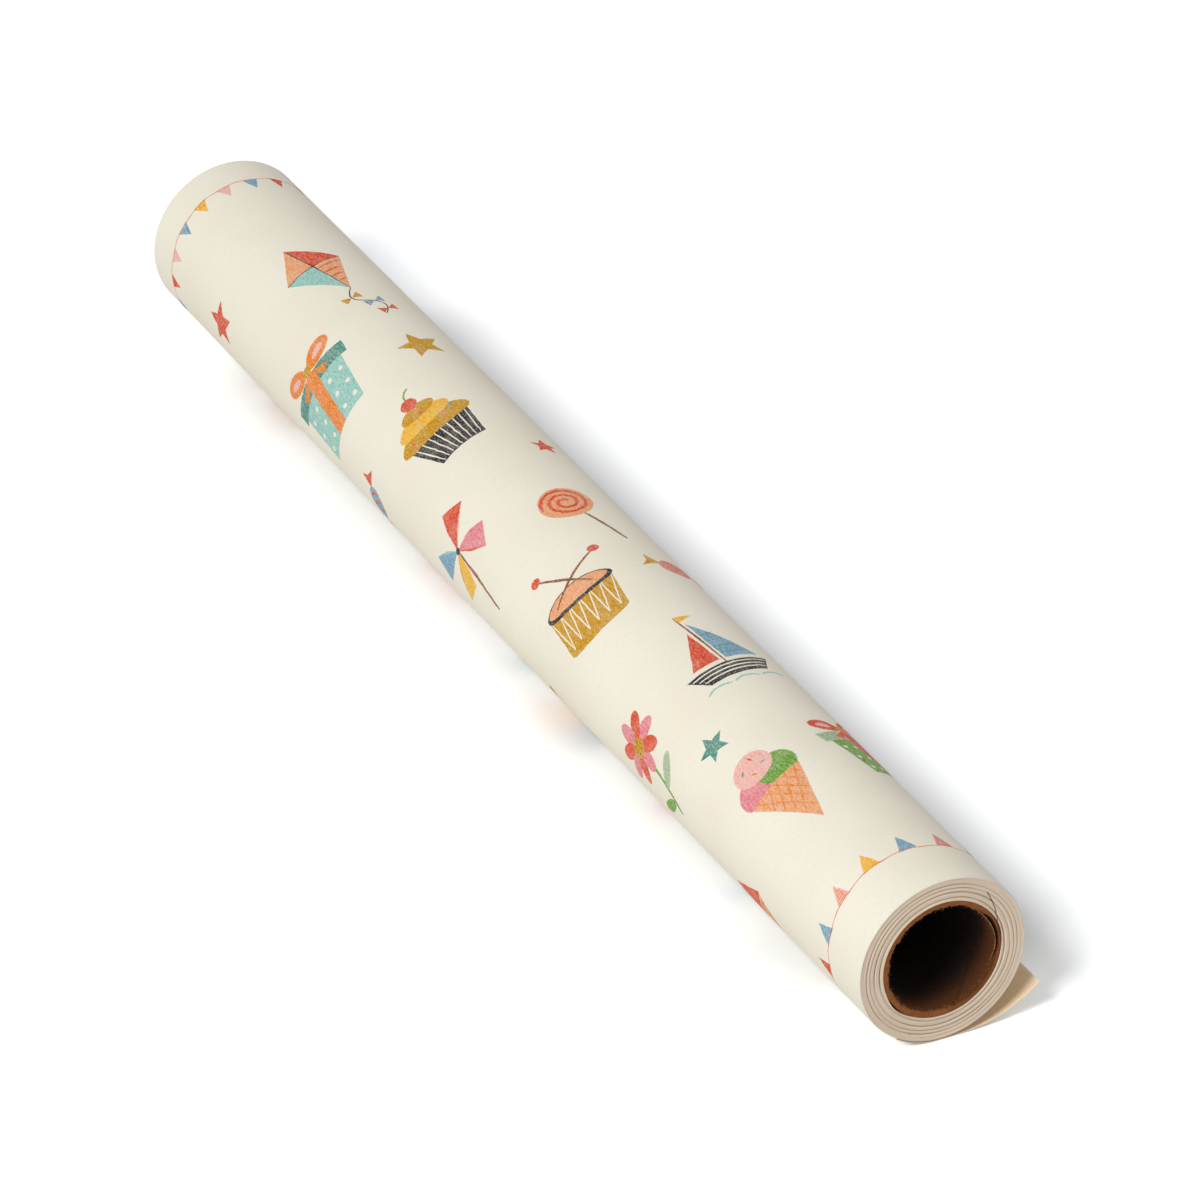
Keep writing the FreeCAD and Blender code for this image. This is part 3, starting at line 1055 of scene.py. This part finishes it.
def core_board_material():
    """Brown board, wound from strips whose butt seams run round the bore and the outside. Where the
    mesh says, it turns to the liner's colour, which carries painted shade.
    """
    s = Surface("brown_core_board", 0.85)
    along, angle = s.split(s.place("wall"))
    space = s.space()
    pulp = s.noise(space, 700.0, 4.0, 0.7)
    fuzz = s.noise(s.scaled(space, 260, 1400, 1400), 1.0, 4.0, 0.7)
    colour = s.mix(s.spread(pulp, 0.3, 0.7), srgb(136, 77, 33), srgb(160, 97, 44))
    colour = s.mix(s.spread(fuzz, 0.5, 0.75, 0.0, 0.4), colour, srgb(172, 118, 66))
    depth = s.math("SUBTRACT", HALF, s.math("ABSOLUTE", along))
    dark = s.node("Attribute", output=2, attribute_name="dark")
    # liner colour, and painted shade over the broken-down side of the ring
    colour = s.mix(s.spread(dark, 0.15, 0.85), colour, liner_with_painted_shade(s, depth, pulp))
    phase = s.math("MULTIPLY", along, 1 / SEAM_PITCH)
    phase = s.math("ADD", phase, s.math("MULTIPLY", angle, 1 / 360))
    distance = s.math("ABSOLUTE", s.math("SUBTRACT", s.math("FRACT", phase), 0.5))
    walls = s.math("MAXIMUM", dark, s.spread(depth, 0.8, 2.0))
    seam = s.math("MULTIPLY", s.spread(distance, 0.004, 0.012, 1.0, 0.0), walls)
    colour = s.mix(s.math("MULTIPLY", seam, 0.35), colour, srgb(30, 17, 10))
    height = s.math("SUBTRACT", s.math("ADD", pulp, fuzz), s.math("MULTIPLY", seam, 3.0))
    return s.finish(colour, height, 0.4, 0.12)


def dark_liner_material():
    """The core's liner where it stands alone, with the same painted shade into the bore."""
    s = Surface("dark_core_liner", 0.85)
    space = s.space()
    pulp = s.noise(space, 700.0, 4.0, 0.7)
    along, _ = s.split(space)
    depth = s.math("SUBTRACT", HALF, s.math("MULTIPLY", along, 1 / MM))
    return s.finish(liner_with_painted_shade(s, depth, pulp), pulp, 0.4, 0.12)


def torn_fibre_material():
    """Light and dark brown board fibre."""
    s = Surface("torn_board_fibre", 0.9)
    pulp = s.noise(s.space(), 1500.0, 3.0)
    colour = s.mix(s.spread(pulp, 0.35, 0.65), srgb(122, 80, 46), srgb(186, 144, 100))
    return s.finish(colour, pulp, 0.3, 0.05)


# Studio

LENS, SENSOR = 260.9, 36.0
CAMERA_PLACE = (1.861, -1.056, 1.4025)  # m, from the middle of the end that shows
CAMERA_WAY = (-0.7654, 0.3879, -0.5136)
WORLD_LEVEL = 0.36
KEY_LEVEL = 0.47
FILL_LEVEL = 0.05
FLOOR_SEEN = (1.0, 1.6)  # how bright the floor looks under the roll, where it is painted darker as a shadow, and clear of it


def camera():
    """The photo's viewpoint, fitted to both ends and the sides of the roll."""
    data = bpy.data.cameras.new("camera")
    data.lens, data.sensor_width = LENS, SENSOR
    data.clip_start, data.clip_end = 0.05, 50.0
    made = bpy.data.objects.new("camera", data)
    bpy.context.scene.collection.objects.link(made)
    made.location = Vector((HALF * MM, 0, 0)) + Vector(CAMERA_PLACE)
    made.rotation_mode = "QUATERNION"
    made.rotation_quaternion = Vector(CAMERA_WAY).to_track_quat("-Z", "Y")
    bpy.context.scene.camera = made


def lamp(name, place, target, size, level):
    """A square lamp that lights a surface facing it at this share of full level."""
    place, target = Vector(place), Vector(target)
    data = bpy.data.lights.new(name, "AREA")
    data.size = size
    data.energy = level * 4 * math.pi * (place - target).length_squared
    made = bpy.data.objects.new(name, data)
    bpy.context.scene.collection.objects.link(made)
    made.location = place
    made.rotation_mode = "QUATERNION"
    made.rotation_quaternion = (target - place).to_track_quat("-Z", "Y")


def seen_directly(tree):
    """1 where the camera, or what mirrors or lets through, looks straight at this."""
    path = tree.nodes.new("ShaderNodeLightPath")
    result = path.outputs["Is Camera Ray"]
    for name in ("Is Glossy Ray", "Is Transmission Ray"):
        larger = tree.nodes.new("ShaderNodeMath")
        larger.operation = "MAXIMUM"
        tree.links.new(result, larger.inputs[0])
        tree.links.new(path.outputs[name], larger.inputs[1])
        result = larger.outputs[0]
    return result


def backdrop():
    """White where the camera sees it, and an even light of its own level."""
    world = bpy.data.worlds.new("studio")
    bpy.context.scene.world = world
    world.use_nodes = True
    background = world.node_tree.nodes["Background"]
    background.inputs["Color"].default_value = (1, 1, 1, 1)
    strength = world.node_tree.nodes.new("ShaderNodeMapRange")
    world.node_tree.links.new(seen_directly(world.node_tree), strength.inputs["Value"])
    strength.inputs["To Min"].default_value = WORLD_LEVEL
    strength.inputs["To Max"].default_value = 1.0
    world.node_tree.links.new(strength.outputs[0], background.inputs["Strength"])


def floor_material():
    """Matt and pale. Where it is looked at, it is painted darker round the roll, a painted shadow
    over the real one, and turns white away from the roll, as in the photo.
    """
    s = Surface("pale_floor", 1.0)
    diffuse = s.tree.nodes.new("ShaderNodeBsdfDiffuse")
    output = s.tree.nodes["Material Output"]
    s.tree.links.new(diffuse.outputs[0], output.inputs["Surface"])
    grain = s.noise(s.space(), 30.0, 2.0)
    plain = s.mix(grain, (0.80, 0.80, 0.80, 1), (0.82, 0.82, 0.82, 1))
    x, y = s.split(s.space())
    # Painted shadow: the seen colour is darkest along a line 17 mm to +Y of the axis, and pales
    # away from it and past the roll's ends.
    past_end = s.math("SUBTRACT", s.math("ABSOLUTE", x), 0.78 * HALF * MM)
    past_end = s.math("MULTIPLY", s.math("MAXIMUM", past_end, 0.0), 1.5)
    offset = s.node("CombineXYZ", {0: past_end, 1: s.math("SUBTRACT", y, 0.017)})
    away = s.node("VectorMath", {0: offset}, 1, operation="LENGTH")
    pale = s.spread(away, 0.024, 0.070, *FLOOR_SEEN)
    # a slightly cool tint, which shows in the painted shadow
    seen = s.node("VectorMath", {0: (0.985, 1.0, 1.02), 3: pale}, operation="SCALE")
    s.tree.links.new(s.mix(seen_directly(s.tree), plain, seen), diffuse.inputs["Color"])
    return s.material


def studio():
    bpy.context.scene.view_settings.view_transform = "Standard"
    backdrop()
    lamp("key", (1.16, -2.27, 2.43), (0, 0, 0), 1.2, KEY_LEVEL)
    lamp("fill", (-0.5, 2.4, 1.7), (0, 0, 0), 1.6, FILL_LEVEL)
    mesh = bpy.data.meshes.new("floor")
    reach = 6.0
    corners = [(-reach, -reach), (reach, -reach), (reach, reach), (-reach, reach)]
    mesh.from_pydata([(x, y, FLOOR * MM - 0.0001) for x, y in corners], [], [(0, 1, 2, 3)])
    floor = bpy.data.objects.new("floor", mesh)
    bpy.context.scene.collection.objects.link(floor)
    mesh.materials.append(floor_material())


printed_paper = printed_paper_material()
kraft_paper = kraft_paper_material()
cut_paper = cut_paper_material()
core_board = core_board_material()
dark_liner = dark_liner_material()
torn_fibre = torn_fibre_material()
printed_turn()
wound_turns()
laid_and_loose_sheet()
core_tube()
lifted_liner()
torn_fibres()
paper_specks()
camera()
studio()
